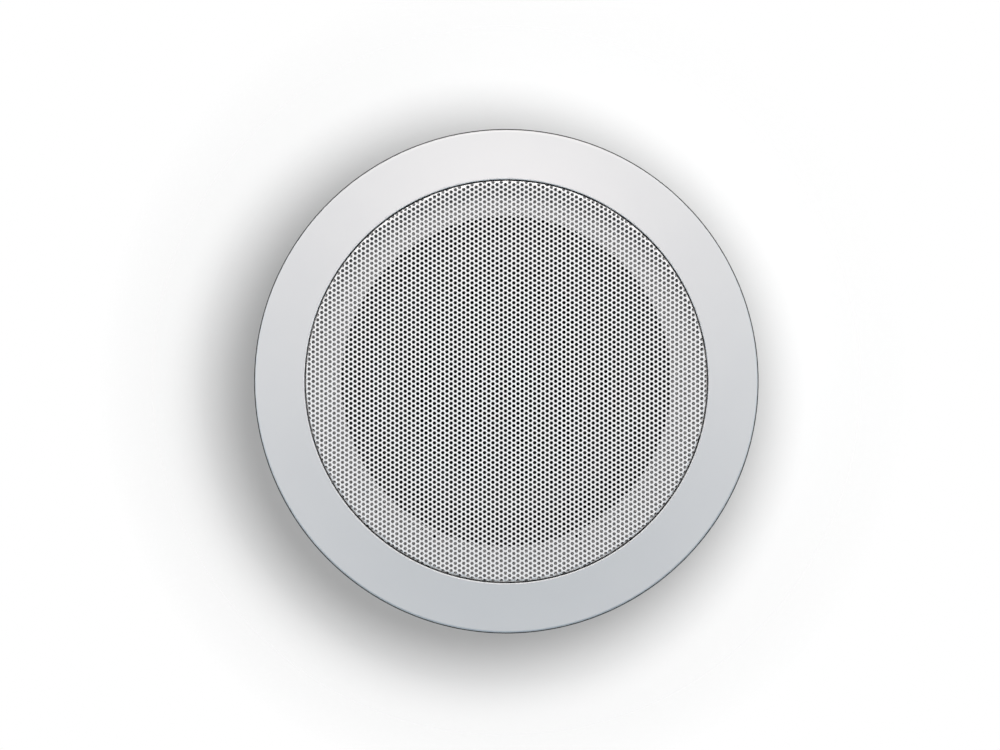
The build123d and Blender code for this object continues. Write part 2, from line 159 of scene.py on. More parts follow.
def smooth(piece, degrees=35):
    """Smooth shading, with the edges sharper than this angle kept."""
    pick(piece)
    bpy.ops.object.shade_smooth_by_angle(angle=math.radians(degrees))


def stand_in(piece, material, slot, *names):
    """Finish of a new piece, and the CAD nodes it stands for hidden. The slot argument is not used."""
    piece.data.materials.clear()
    piece.data.materials.append(material)
    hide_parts(*names)


# Closed-cell foam: small round cells cut open on the surface, and no gloss. Each cell's hollow is painted
# darker, as painted shade.
foam, shader, place = new_finish("closed_cell_foam", "#2A2A2B", Roughness=0.95)
cells_and_shade = add_node(foam, "ShaderNodeTexVoronoi", {"Scale": 1 / FOAM_CELL}, {"Vector": (place, "Object")})
# Painted shade: the colour darkens towards the middle of each cell, where the bump sinks it
add_node(foam, "ShaderNodeMixRGB", {"Color1": linear("#1E1E1F"), "Color2": linear("#3A3A3B")},
         {"Fac": (cells_and_shade, "Distance")}, {"Color": (shader, "Base Color")})
add_node(foam, "ShaderNodeBump", {"Strength": 0.8, "Distance": 0.2 * MM},
         {"Height": (cells_and_shade, "Distance")}, {"Normal": (shader, "Normal")})

gasket_line = [(GASKET_INNER, GASKET_FRONT)]
gasket_line += [(GASKET_OUTER - x, GASKET_FRONT + z) for x, z in GASKET_ROUND]
gasket_line += [(GASKET_OUTER - x, -z) for x, z in reversed(GASKET_ROUND)]
gasket_line += [(GASKET_INNER, 0), (GASKET_INNER, GASKET_FRONT)]
ceiling_gasket = lathe("ceiling_gasket_foam", gasket_line, SPIN_STEPS)
smooth(ceiling_gasket)
stand_in(ceiling_gasket, foam, "foam", "ceiling_gasket")
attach(ceiling_gasket, "speaker")

# Grille. A pan drawn from steel sheet that is coated before it is punched, white in front and grey behind.
# The holes are there before the pan is drawn, so they run on over the bend. It is pressed into the recess and
# stands on the baffle.
HOLE_PITCH = 1.993          # millimetres between holes in a column
COLUMN_PITCH = 1.693        # between columns, which stand half a pitch apart
HOLE_CORNER = 0.775         # six-sided hole, as large as a round one of 1.41 mm
SHEET = 0.6
GRILLE_FRONT = -7.4
GRILLE_REAR = 0.8
BEND_START = 80.3
BEND_RADIUS = 1.0
HOLES_END = 81.4            # radius on the flat sheet
BLANK_END = 83.0            # plain edge of the blank
COLUMNS = 52                # pairs of columns, and rows, that cover the blank
ROWS = 86
LATTICE_PLACE = Vector((0.36, -0.03))   # of the hole nearest the middle, as the blank happened to be cut
SAME_PLACE = 0.05           # well under the distance between two corners of the sheet


def apply_modifier(piece, kind, **settings):
    """A modifier added with its settings and applied."""
    bpy.context.view_layer.objects.active = piece
    modifier = piece.modifiers.new(kind.title(), kind)
    for name, value in settings.items():
        setattr(modifier, name, value)
    bpy.ops.object.modifier_apply(modifier=modifier.name)


def select_only(mesh, chosen):
    """Selects these vertices, edges or faces, and nothing else, in edit mode."""
    bpy.ops.mesh.select_all(action="DESELECT")
    for item in chosen:
        item.select_set(True)
    bmesh.update_edit_mesh(mesh)


def near(point, x, y):
    """True if a point of the sheet lies at this place."""
    return (point.xy / MM - Vector((x, y))).length < SAME_PLACE


# One hole with a strip of sheet to three of its neighbours and the two corners between them
half = HOLE_CORNER / 2
rise = HOLE_CORNER * math.sin(math.radians(60))
next_corner = COLUMN_PITCH - half
next_rise = HOLE_PITCH / 2 - rise
up_strip = (0, HOLE_PITCH - 2 * rise)
side_strip = (next_corner - HOLE_CORNER, next_rise)
strips = [
    ((-half, rise), (half, rise), up_strip),
    ((half, rise), (HOLE_CORNER, 0), side_strip),
    ((HOLE_CORNER, 0), (half, -rise), (side_strip[0], -side_strip[1])),
]
corners = [
    [(half, rise), (half, HOLE_PITCH - rise), (COLUMN_PITCH - HOLE_CORNER, HOLE_PITCH / 2)],
    [(HOLE_CORNER, 0), (next_corner, next_rise), (next_corner, -next_rise)],
]
bpy.ops.object.select_all(action="DESELECT")
bpy.ops.mesh.primitive_circle_add(vertices=6, radius=HOLE_CORNER * MM, rotation=(0, 0, math.radians(30)))
bpy.ops.object.transform_apply(location=True, rotation=True, scale=True)
grille = bpy.context.object
grille.name = "grille_sheet"
bpy.ops.object.mode_set(mode="EDIT")
bpy.ops.mesh.select_mode(type="EDGE")
for start, end, (x, y) in strips:
    sheet = bmesh.from_edit_mesh(grille.data)
    select_only(grille.data, [e for e in sheet.edges if all(
        near(v.co, *start) or near(v.co, *end) for v in e.verts)])
    bpy.ops.mesh.extrude_edges_move(TRANSFORM_OT_translate={"value": Vector((x, y, 0)) * MM})
bpy.ops.mesh.select_mode(type="VERT")
for corner in corners:
    sheet = bmesh.from_edit_mesh(grille.data)
    select_only(grille.data, [v for v in sheet.verts if any(near(v.co, *point) for point in corner)])
    bpy.ops.mesh.edge_face_add()
bpy.ops.mesh.select_all(action="SELECT")
bpy.ops.mesh.duplicate_move(
    TRANSFORM_OT_translate={"value": Vector((COLUMN_PITCH, HOLE_PITCH / 2, 0)) * MM})
bpy.ops.mesh.select_all(action="SELECT")
bpy.ops.transform.translate(value=(
    LATTICE_PLACE - Vector((COLUMNS * COLUMN_PITCH, ROWS / 2 * HOLE_PITCH))).to_3d() * MM)
bpy.ops.object.mode_set(mode="OBJECT")
apply_modifier(grille, "ARRAY", count=COLUMNS, use_relative_offset=False, use_constant_offset=True,
               constant_offset_displace=Vector((2 * COLUMN_PITCH, 0, 0)) * MM)
apply_modifier(grille, "ARRAY", count=ROWS, use_relative_offset=False, use_constant_offset=True,
               constant_offset_displace=Vector((0, HOLE_PITCH, 0)) * MM)


def hole_centre(point):
    """Centre, in millimetres, of the hole that a point of the sheet belongs to."""
    x, y = point.xy / MM - LATTICE_PLACE
    column = round(x / COLUMN_PITCH)
    shift = HOLE_PITCH / 2 * (column % 2)
    row = round((y - shift) / HOLE_PITCH)
    return LATTICE_PLACE + Vector((column * COLUMN_PITCH, row * HOLE_PITCH + shift))


def is_punched(point):
    """True if the point's hole is one that the round blank keeps."""
    return hole_centre(point).length < HOLES_END


# Round blank: the faces round the kept holes stay, and a plain edge is filled in between them and a circle
bpy.ops.object.mode_set(mode="EDIT")
bpy.ops.mesh.select_all(action="SELECT")
bpy.ops.mesh.remove_doubles(threshold=MERGE)
bpy.ops.mesh.select_mode(type="FACE")
sheet = bmesh.from_edit_mesh(grille.data)
select_only(grille.data, [f for f in sheet.faces if not any(is_punched(v.co) for v in f.verts)])
bpy.ops.mesh.delete(type="FACE")
bpy.ops.mesh.select_mode(type="EDGE")
bpy.ops.mesh.select_all(action="SELECT")
bpy.ops.mesh.delete_loose()
bpy.ops.mesh.primitive_circle_add(vertices=SPIN_STEPS, radius=BLANK_END * MM)
sheet = bmesh.from_edit_mesh(grille.data)
select_only(grille.data, [e for e in sheet.edges if len(e.link_faces) < 2 and not all(
    is_punched(v.co) for v in e.verts)])
bpy.ops.mesh.fill(use_beauty=True)

# Drawing: the blank turns round the bend and up its rim, and the rim's plain edge reaches the baffle
sheet = bmesh.from_edit_mesh(grille.data)
for vertex in sheet.verts:
    reach = vertex.co.xy.length / MM
    turn = min(max((reach - BEND_START) / BEND_RADIUS, 0), math.pi / 2)
    radius = min(reach, BEND_START) + BEND_RADIUS * math.sin(turn)
    past_bend = max(reach - BEND_START - BEND_RADIUS * math.pi / 2, 0)
    height = GRILLE_FRONT + BEND_RADIUS * (1 - math.cos(turn)) + past_bend
    if reach > 0:
        vertex.co.xy *= radius / reach
    vertex.co.z = height * MM
rim_height = max(v.co.z for v in sheet.verts)
select_only(grille.data, [e for e in sheet.edges if len(e.link_faces) == 1 and all(
    v.co.z > rim_height - MERGE for v in e.verts)])
bpy.ops.mesh.extrude_edges_move(TRANSFORM_OT_translate={"value": (0, 0, GRILLE_REAR * MM - rim_height)})
bpy.ops.mesh.select_all(action="SELECT")
bpy.ops.mesh.normals_make_consistent(inside=False)
sheet = bmesh.from_edit_mesh(grille.data)
if min(sheet.faces, key=lambda f: f.calc_center_median().z).normal.z > 0:
    bpy.ops.mesh.flip_normals()
bpy.ops.object.mode_set(mode="OBJECT")

# White coil coat: paint rolled on to the flat sheet, soft and with a faint orange peel.
COAT_PEEL = 1.4 * MM
coil_coat, shader, place = new_finish("white_coil_coat", "#F9F9F8", Roughness=0.5)
peel = add_node(coil_coat, "ShaderNodeTexNoise", {"Scale": 1 / COAT_PEEL, "Detail": 2.0},
                {"Vector": (place, "Object")})
add_node(coil_coat, "ShaderNodeMixRGB", {"Color1": linear("#F7F7F6"), "Color2": linear("#FBFBFA")},
         {"Fac": (peel, "Fac")}, {"Color": (shader, "Base Color")})
add_node(coil_coat, "ShaderNodeBump", {"Strength": 0.4, "Distance": 0.02 * MM},
         {"Height": (peel, "Fac")}, {"Normal": (shader, "Normal")})
grille.data.materials.append(coil_coat)

# Grey primer: the thin coat on the sheet's back. The punched edges, which are bare steel, are as dull.
PRIMER_CLOUD = 3 * MM
primer, shader, place = new_finish("grey_primer", "#A2A3A4", Roughness=0.75)
cloud = add_node(primer, "ShaderNodeTexNoise", {"Scale": 1 / PRIMER_CLOUD, "Detail": 3.0},
                 {"Vector": (place, "Object")})
add_node(primer, "ShaderNodeMixRGB", {"Color1": linear("#9C9D9E"), "Color2": linear("#A8A9AA")},
         {"Fac": (cloud, "Fac")}, {"Color": (shader, "Base Color")})
grille.data.materials.append(primer)

# The sheet's thickness takes the primer on its back and on the cut edges
apply_modifier(grille, "SOLIDIFY", thickness=SHEET * MM, offset=-1.0,
               material_offset=1, material_offset_rim=1)
smooth(grille, 65)
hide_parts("grille")
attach(grille, "speaker")

# Driver gasket. A softer foam ring between the basket and the baffle, punched for the four screws.
# Only its edge shows, in the joint.
SEAL_INNER = 66.0
SEAL_OUTER = 75.0
SEAL_FRONT = 4.8            # on the baffle
SEAL_REAR = 5.8             # under the basket's rim
SEAL_CHAMFER = 0.2
SCREW_CIRCLE = 71.1
SCREW_TURNS = [Matrix.Rotation(math.radians(45 + 90 * n), 4, "Z") for n in range(4)]
SCREW_HOLE = 2.1            # radius
CUT_STEPS = 24


def cut(piece, cutter):
    """Takes one mesh out of another, and removes it."""
    apply_modifier(piece, "BOOLEAN", operation="DIFFERENCE", solver="EXACT", object=cutter)
    bpy.data.objects.remove(cutter)


seal_thickness = SEAL_REAR - SEAL_FRONT
seal_middle = (SEAL_FRONT + SEAL_REAR) / 2
seal_line = [
    (SEAL_INNER, SEAL_FRONT),
    (SEAL_OUTER - SEAL_CHAMFER, SEAL_FRONT), (SEAL_OUTER, SEAL_FRONT + SEAL_CHAMFER),
    (SEAL_OUTER, SEAL_REAR - SEAL_CHAMFER), (SEAL_OUTER - SEAL_CHAMFER, SEAL_REAR),
    (SEAL_INNER, SEAL_REAR), (SEAL_INNER, SEAL_FRONT),
]
driver_gasket = lathe("driver_gasket_foam", seal_line, SPIN_STEPS)
for turn in SCREW_TURNS:
    bpy.ops.object.select_all(action="DESELECT")
    bpy.ops.mesh.primitive_cylinder_add(
        vertices=CUT_STEPS, radius=SCREW_HOLE * MM, depth=4 * seal_thickness * MM,
        location=turn @ Vector((SCREW_CIRCLE, 0, seal_middle)) * MM)
    cut(driver_gasket, bpy.context.object)
smooth(driver_gasket)
stand_in(driver_gasket, foam, "foam", "driver_gasket")
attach(driver_gasket, "speaker")

# Basket. Pressed from one sheet of steel: rim, sloping spokes with windows between them, the shelf for the
# spider and the platform that the magnet hangs on. Dipped in black enamel.
ENAMEL_PEEL = 3.0 * MM
ENAMEL_DUST = 6.0 * MM

# Black enamel: a glossy dip coat with a slack orange peel, dulled in places by dust and handling.
enamel, shader, place = new_finish("black_enamel", "#0D0D0E", IOR=1.5)
peel = add_node(enamel, "ShaderNodeTexNoise", {"Scale": 1 / ENAMEL_PEEL, "Detail": 1.0},
                {"Vector": (place, "Object")})
dust = add_node(enamel, "ShaderNodeTexNoise", {"Scale": 1 / ENAMEL_DUST, "Detail": 4.0},
                {"Vector": (place, "Object")})
add_node(enamel, "ShaderNodeMixRGB", {"Color1": linear("#0C0C0D"), "Color2": linear("#131314")},
         {"Fac": (dust, "Fac")}, {"Color": (shader, "Base Color")})
add_node(enamel, "ShaderNodeMapRange", {"From Min": 0.35, "From Max": 0.65, "To Min": 0.28, "To Max": 0.36},
         {"Value": (dust, "Fac")}, {"Result": (shader, "Roughness")})
add_node(enamel, "ShaderNodeBump", {"Strength": 0.25, "Distance": 0.04 * MM},
         {"Height": (peel, "Fac")}, {"Normal": (shader, "Normal")})
dress(enamel, "basket")

# Magnet. A turned top plate and a back plate forged in one with its pole, both zinc-plated steel, and a ring
# of sintered ferrite glued between them.
ZINC_CLOUD = 14 * MM
ZINC_GRAIN = 0.3 * MM
FERRITE_GRAIN = 0.6 * MM
FERRITE_PIT = 2.0 * MM

# Zinc plate: a dull silver with faint blue and straw clouds from the passivating dip.
zinc, shader, place = new_finish("zinc_plate", "#B4B8BD", Metallic=1.0)
cloud = add_node(zinc, "ShaderNodeTexNoise", {"Scale": 1 / ZINC_CLOUD, "Detail": 3.0},
                 {"Vector": (place, "Object")})
grain = add_node(zinc, "ShaderNodeTexNoise", {"Scale": 1 / ZINC_GRAIN, "Detail": 2.0},
                 {"Vector": (place, "Object")})
add_node(zinc, "ShaderNodeMixRGB", {"Color1": linear("#B7BDC4"), "Color2": linear("#C2C1BB")},
         {"Fac": (cloud, "Fac")}, {"Color": (shader, "Base Color")})
add_node(zinc, "ShaderNodeMapRange", {"From Min": 0.3, "From Max": 0.7, "To Min": 0.34, "To Max": 0.42},
         {"Value": (cloud, "Fac")}, {"Result": (shader, "Roughness")})
add_node(zinc, "ShaderNodeBump", {"Strength": 0.3, "Distance": 0.01 * MM},
         {"Height": (grain, "Fac")}, {"Normal": (shader, "Normal")})
dress(zinc, "top_plate", "pole_yoke")

# Sintered ferrite: a dense black ceramic, ground to size, with a fine grain and a few pits.
ferrite, shader, place = new_finish("sintered_ferrite", "#2B2C2E", IOR=1.8)
grain = add_node(ferrite, "ShaderNodeTexNoise", {"Scale": 1 / FERRITE_GRAIN, "Detail": 6.0},
                 {"Vector": (place, "Object")})
pits = add_node(ferrite, "ShaderNodeTexVoronoi", {"Scale": 1 / FERRITE_PIT}, {"Vector": (place, "Object")})
pit = add_node(ferrite, "ShaderNodeMapRange", {"From Min": 0.02, "From Max": 0.16},
               {"Value": (pits, "Distance")})
add_node(ferrite, "ShaderNodeMixRGB", {"Color1": linear("#222325"), "Color2": linear("#37383A")},
         {"Fac": (grain, "Fac")}, {"Color": (shader, "Base Color")})
add_node(ferrite, "ShaderNodeMapRange", {"To Min": 0.42, "To Max": 0.62},
         {"Value": (grain, "Fac")}, {"Result": (shader, "Roughness")})
ground = add_node(ferrite, "ShaderNodeBump", {"Strength": 0.3, "Distance": 0.03 * MM},
                  {"Height": (grain, "Fac")})
add_node(ferrite, "ShaderNodeBump", {"Strength": 0.5, "Distance": 0.1 * MM},
         {"Height": (pit, "Result"), "Normal": (ground, "Normal")}, {"Normal": (shader, "Normal")})
dress(ferrite, "magnet")

# Voice coil. Enamelled copper wire wound on a thin aluminium former, which is glued into the cone's neck.
WIRE_PITCH = 0.5 * MM       # the real wire is half as thick, and its turns would not show


def band_scale(pitch):
    """Scale of a wave texture whose bands lie this far apart."""
    return math.pi / 10 / pitch


# Enamelled copper: bright red-brown turns, each with its own round highlight. The colour is painted darker in
# the creases between the turns, as painted shade, and lighter on each turn's crown, as a painted highlight.
copper, shader, place = new_finish("enamelled_copper", "#B4642F", Metallic=1.0, Coat_Weight=0.6)
turns_and_shade = add_node(copper, "ShaderNodeTexWave", {"bands_direction": "Z", "Scale": band_scale(WIRE_PITCH)},
                 {"Vector": (place, "Object")})
# Painted shade between the turns and a painted highlight on their crowns, in the base colour
add_node(copper, "ShaderNodeMixRGB", {"Color1": linear("#7C3E1B"), "Color2": linear("#C07238")},
         {"Fac": (turns_and_shade, "Fac")}, {"Color": (shader, "Base Color")})
add_node(copper, "ShaderNodeMapRange", {"To Min": 0.4, "To Max": 0.25},
         {"Value": (turns_and_shade, "Fac")}, {"Result": (shader, "Roughness")})
add_node(copper, "ShaderNodeBump", {"Strength": 0.8, "Distance": 0.12 * MM},
         {"Height": (turns_and_shade, "Fac")}, {"Normal": (shader, "Normal")})
dress(copper, "voice_coil")

# Rolled aluminium: a soft grey metal with faint streaks from the rolls.
ROLL_STREAK = 0.8 * MM
aluminium, shader, place = new_finish("rolled_aluminium", "#C4C5C8", Metallic=1.0)
along = add_node(aluminium, "ShaderNodeMapping", {"Scale": (1.0, 1.0, 0.12)}, {"Vector": (place, "Object")})
streak = add_node(aluminium, "ShaderNodeTexNoise", {"Scale": 1 / ROLL_STREAK, "Detail": 2.0},
                  {"Vector": (along, "Vector")})
add_node(aluminium, "ShaderNodeMixRGB", {"Color1": linear("#BBBCC0"), "Color2": linear("#CDCED0")},
         {"Fac": (streak, "Fac")}, {"Color": (shader, "Base Color")})
add_node(aluminium, "ShaderNodeMapRange", {"To Min": 0.28, "To Max": 0.42},
         {"Value": (streak, "Fac")}, {"Result": (shader, "Roughness")})
dress(aluminium, "coil_former", *[f"clip_rivet_{n}" for n in (1, 2, 3)])

# Spider. A disc of open-weave cotton stiffened with resin and pressed into rings. Its inner edge is glued to
# the former and its rim to the basket's shelf.
SPIDER_LEVEL = 25.7         # middle of the cloth
SPIDER_INNER = 13.05
SPIDER_OUTER = 37.5
CLOTH = 0.6                 # thickness
SPIDER_WAVE = 1.2
WAVE_START = 14.8
WAVE_END = 32.5
HALF_WAVES = 7
WAVE_POINTS = 42
SPIDER_STEPS = 128
THREAD = 0.9 * MM           # the real threads are half as wide, and would not show


def flexes(piece, outer, inner):
    """Bakes a round piece's place into its mesh and works out each point's share of the way from its outer
    radius to its inner one, but bends nothing.
    """
    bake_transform(piece)
    shares = [(outer - v.co.xy.length / MM) / (outer - inner) for v in piece.data.vertices]
    shares = [min(max(share, 0.0), 1.0) for share in shares]


wave_line = []
for n in range(WAVE_POINTS + 1):
    share = n / WAVE_POINTS
    wave_line.append((WAVE_START + share * (WAVE_END - WAVE_START),
                      SPIDER_LEVEL - SPIDER_WAVE * math.sin(share * HALF_WAVES * math.pi)))
spider_line = [(SPIDER_INNER, SPIDER_LEVEL), *wave_line, (SPIDER_OUTER, SPIDER_LEVEL)]
spider = lathe("spider_cloth_disc", spider_line, SPIDER_STEPS)
apply_modifier(spider, "SOLIDIFY", thickness=CLOTH * MM, offset=0.0)
smooth(spider, 60)

# Resined cotton: a plain weave of straw-coloured threads. The colour is painted lighter where the threads
# cross and darker between the crossings, as painted shade in the weave.
cotton, shader, place = new_finish("resined_cotton", "#A47C3C", Roughness=0.7, Sheen_Weight=0.2)
warp = add_node(cotton, "ShaderNodeTexWave", {"bands_direction": "X", "Scale": band_scale(THREAD)},
                {"Vector": (place, "Object")})
weft = add_node(cotton, "ShaderNodeTexWave", {"bands_direction": "Y", "Scale": band_scale(THREAD)},
                {"Vector": (place, "Object")})
weave_and_shade = add_node(cotton, "ShaderNodeMixRGB", {"blend_type": "MULTIPLY", "Fac": 1.0},
                 {"Color1": (warp, "Color"), "Color2": (weft, "Color")})
# Painted shade: darker between the thread crossings, lighter where they cross
add_node(cotton, "ShaderNodeMixRGB", {"Color1": linear("#7C5A26"), "Color2": linear("#B88F4C")},
         {"Fac": (weave_and_shade, "Color")}, {"Color": (shader, "Base Color")})
add_node(cotton, "ShaderNodeBump", {"Strength": 0.8, "Distance": 0.15 * MM},
         {"Height": (weave_and_shade, "Color")}, {"Normal": (shader, "Normal")})
stand_in(spider, cotton, "spider_cloth", "spider")
flexes(spider, WAVE_END, WAVE_START)

# Cone and dust cap. Felted from wet paper pulp on a wire form, dyed black and dried, so the skin is matt
# with fine fibres in it. The cap is glued over the coil's end.
PULP = 0.7 * MM
FIBRE = 0.25 * MM
pulp_paper, shader, place = new_finish("black_pulp_paper", "#0D0D0E", Roughness=0.85, Specular_IOR_Level=0.2)
felt = add_node(pulp_paper, "ShaderNodeTexNoise", {"Scale": 1 / PULP, "Detail": 4.0, "Distortion": 1.5},
                {"Vector": (place, "Object")})
fibres = add_node(pulp_paper, "ShaderNodeTexNoise", {"Scale": 1 / FIBRE, "Detail": 3.0, "Distortion": 3.0},
                  {"Vector": (place, "Object")})
fibre = add_node(pulp_paper, "ShaderNodeMapRange", {"From Min": 0.5, "From Max": 0.75},
                 {"Value": (fibres, "Fac")})
add_node(pulp_paper, "ShaderNodeMixRGB", {"Color1": linear("#0A0A0B"), "Color2": linear("#212020")},
         {"Fac": (fibre, "Result")}, {"Color": (shader, "Base Color")})
add_node(pulp_paper, "ShaderNodeBump", {"Strength": 0.6, "Distance": 0.08 * MM},
         {"Height": (felt, "Fac")}, {"Normal": (shader, "Normal")})
dress(pulp_paper, "cone", "dust_cap")

# Surround. A half roll moulded in soft black rubber, glued to the cone's flat lip and to the basket's rim.
SURROUND_LEVEL = 5.4        # middle of the wall
SURROUND_INNER = 42.0
SURROUND_OUTER = 66.0
SURROUND_WALL = 0.8
ROLL_CENTRE = (52.5, 6.877)
ROLL_RADIUS = 7.977
ROLL_POINTS = 24
ROLL_INNER = 45.0
ROLL_OUTER = 60.0
RUBBER_GRAIN = 0.3 * MM

roll_foot = math.asin((ROLL_CENTRE[1] - SURROUND_LEVEL) / ROLL_RADIUS)
roll_line = []
for n in range(ROLL_POINTS + 1):
    angle = math.pi + roll_foot + n / ROLL_POINTS * (math.pi - 2 * roll_foot)
    roll_line.append((ROLL_CENTRE[0] + ROLL_RADIUS * math.cos(angle),
                      ROLL_CENTRE[1] + ROLL_RADIUS * math.sin(angle)))
surround_line = [(SURROUND_INNER, SURROUND_LEVEL), *roll_line, (SURROUND_OUTER, SURROUND_LEVEL)]
surround = lathe("surround_roll", surround_line, SPIN_STEPS)
apply_modifier(surround, "SOLIDIFY", thickness=SURROUND_WALL * MM, offset=0.0)
smooth(surround, 50)

# Moulded rubber: black and half matt, with the fine grain of a blasted mould.
rubber, shader, place = new_finish("moulded_rubber", "#101011", Roughness=0.5, Specular_IOR_Level=0.35)
grain = add_node(rubber, "ShaderNodeTexNoise", {"Scale": 1 / RUBBER_GRAIN, "Detail": 3.0},
                 {"Vector": (place, "Object")})
add_node(rubber, "ShaderNodeMixRGB", {"Color1": linear("#0D0D0E"), "Color2": linear("#151516")},
         {"Fac": (grain, "Fac")}, {"Color": (shader, "Base Color")})
add_node(rubber, "ShaderNodeMapRange", {"To Min": 0.42, "To Max": 0.6},
         {"Value": (grain, "Fac")}, {"Result": (shader, "Roughness")})
add_node(rubber, "ShaderNodeBump", {"Strength": 0.4, "Distance": 0.03 * MM},
         {"Height": (grain, "Fac")}, {"Normal": (shader, "Normal")})
stand_in(surround, rubber, "surround_rubber", "surround")
flexes(surround, ROLL_OUTER, ROLL_INNER)

# Tags. Two blades punched from tinned brass lie on a strip of laminated board, and a rivet holds the strip to
# the basket. A bead of solder joins each blade to its lead.
TAG_PLACES = {"plus": -8.0, "minus": 8.0}
BOARD_FIBRE = 1.2 * MM
TIN_CLOUD = 2.5 * MM
SOLDER_PLACE = (49.5, 29.5)  # over the lead's end, just under the blade's face
SOLDER_WIDTH = 2.6
SOLDER_HEIGHT = 1.0
BEAD_CUT = 0.1              # below the ball's middle, as a share of its width

# Laminated board: brown resined paper with a dull gloss and short fibres along the sheet.
board, shader, place = new_finish("laminated_board", "#6B4022", Roughness=0.45)
along = add_node(board, "ShaderNodeMapping", {"Scale": (0.2, 1.0, 1.0)}, {"Vector": (place, "Object")})
fibre = add_node(board, "ShaderNodeTexNoise", {"Scale": 1 / BOARD_FIBRE, "Detail": 5.0},
                 {"Vector": (along, "Vector")})
add_node(board, "ShaderNodeMixRGB", {"Color1": linear("#57331A"), "Color2": linear("#7F4F2C")},
         {"Fac": (fibre, "Fac")}, {"Color": (shader, "Base Color")})
add_node(board, "ShaderNodeBump", {"Strength": 0.3, "Distance": 0.03 * MM},
         {"Height": (fibre, "Fac")}, {"Normal": (shader, "Normal")})
dress(board, "tag_strip")

# Tinned brass: a pale metal with a warm cast and the slow ripple of the molten tin.
tin, shader, place = new_finish("tinned_brass", "#C8C2AC", Metallic=1.0)
ripple = add_node(tin, "ShaderNodeTexNoise", {"Scale": 1 / TIN_CLOUD, "Detail": 2.0},
                  {"Vector": (place, "Object")})
add_node(tin, "ShaderNodeMixRGB", {"Color1": linear("#BDB394"), "Color2": linear("#CFCDC2")},
         {"Fac": (ripple, "Fac")}, {"Color": (shader, "Base Color")})
add_node(tin, "ShaderNodeMapRange", {"To Min": 0.22, "To Max": 0.4},
         {"Value": (ripple, "Fac")}, {"Result": (shader, "Roughness")})
add_node(tin, "ShaderNodeBump", {"Strength": 0.3, "Distance": 0.04 * MM},
         {"Height": (ripple, "Fac")}, {"Normal": (shader, "Normal")})
dress(tin, "tag_plus", "tag_minus", "tag_rivet")


def bead(name, place, turn, width, height):
    """A drop that has set on a face: a ball cut a little below its middle, then drawn down to its height."""
    bpy.ops.object.select_all(action="DESELECT")
    bpy.ops.mesh.primitive_uv_sphere_add(segments=24, ring_count=12, radius=width / 2)
    drop = bpy.context.object
    drop.name = name
    drop.data.name = name
    bpy.ops.object.mode_set(mode="EDIT")
    bpy.ops.mesh.select_all(action="SELECT")
    bpy.ops.mesh.bisect(plane_co=(0, 0, -BEAD_CUT * width), plane_no=(0, 0, 1),
                        use_fill=True, clear_inner=True)
    bpy.ops.mesh.select_all(action="SELECT")
    bpy.ops.transform.resize(value=(1, 1, 2 * height / width))
    bpy.ops.mesh.normals_make_consistent(inside=False)
    bpy.ops.object.mode_set(mode="OBJECT")
    drop.matrix_world = Matrix.Translation(place) @ turn
    bpy.ops.object.transform_apply(location=True, rotation=True, scale=True)
    smooth(drop, 50)
    return drop


for name, x in TAG_PLACES.items():
    solder = bead(f"solder_{name}", Vector((x, *SOLDER_PLACE)) * MM, Matrix(),
                  SOLDER_WIDTH * MM, SOLDER_HEIGHT * MM)
    solder.data.materials.append(tin)
    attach(solder, "speaker")

# Leads. Limp braids of copper tinsel from the cone to the tags, about 28 mm of each in a loose bend, so that
# they follow the cone. A dab of black cement holds each one on the cone's back.
LEAD_ROUTE = [(27.0, 15.95), (32.0, 20.95), (49.5, 20.95), (49.5, 28.8)]
LEAD_DIAMETER = 1.2 * MM
BRAID = 0.6 * MM
CONE_SLOPE = 0.622          # fall of the cone for each millimetre outwards
CEMENT_LEVEL = 15.3         # of the cone's back, under the lead
CEMENT_WIDTH = 4.0
CEMENT_HEIGHT = 1.3

# Tinsel braid: flat copper ribbon laid over thread in crossing spirals. The colour is painted darker between
# the crossing strands, as painted shade, and lighter where they meet.
tinsel, shader, place = new_finish("tinsel_braid", "#B07A55", Metallic=1.0)
left = add_node(tinsel, "ShaderNodeTexWave", {"bands_direction": "DIAGONAL", "Scale": band_scale(BRAID)},
                {"Vector": (place, "Object")})
turned = add_node(tinsel, "ShaderNodeMapping", {"Scale": (-1.0, 1.0, -1.0)}, {"Vector": (place, "Object")})
right = add_node(tinsel, "ShaderNodeTexWave", {"bands_direction": "DIAGONAL", "Scale": band_scale(BRAID)},
                 {"Vector": (turned, "Vector")})
braid_and_shade = add_node(tinsel, "ShaderNodeMixRGB", {"blend_type": "MULTIPLY", "Fac": 1.0},
                 {"Color1": (left, "Color"), "Color2": (right, "Color")})
# Painted shade: the copper colour darkens between the strands and lightens where they meet
add_node(tinsel, "ShaderNodeMixRGB", {"Color1": linear("#6E4327"), "Color2": linear("#C8946C")},
         {"Fac": (braid_and_shade, "Color")}, {"Color": (shader, "Base Color")})
add_node(tinsel, "ShaderNodeMapRange", {"To Min": 0.5, "To Max": 0.3},
         {"Value": (braid_and_shade, "Color")}, {"Result": (shader, "Roughness")})
add_node(tinsel, "ShaderNodeBump", {"Strength": 0.8, "Distance": 0.12 * MM},
         {"Height": (braid_and_shade, "Color")}, {"Normal": (shader, "Normal")})

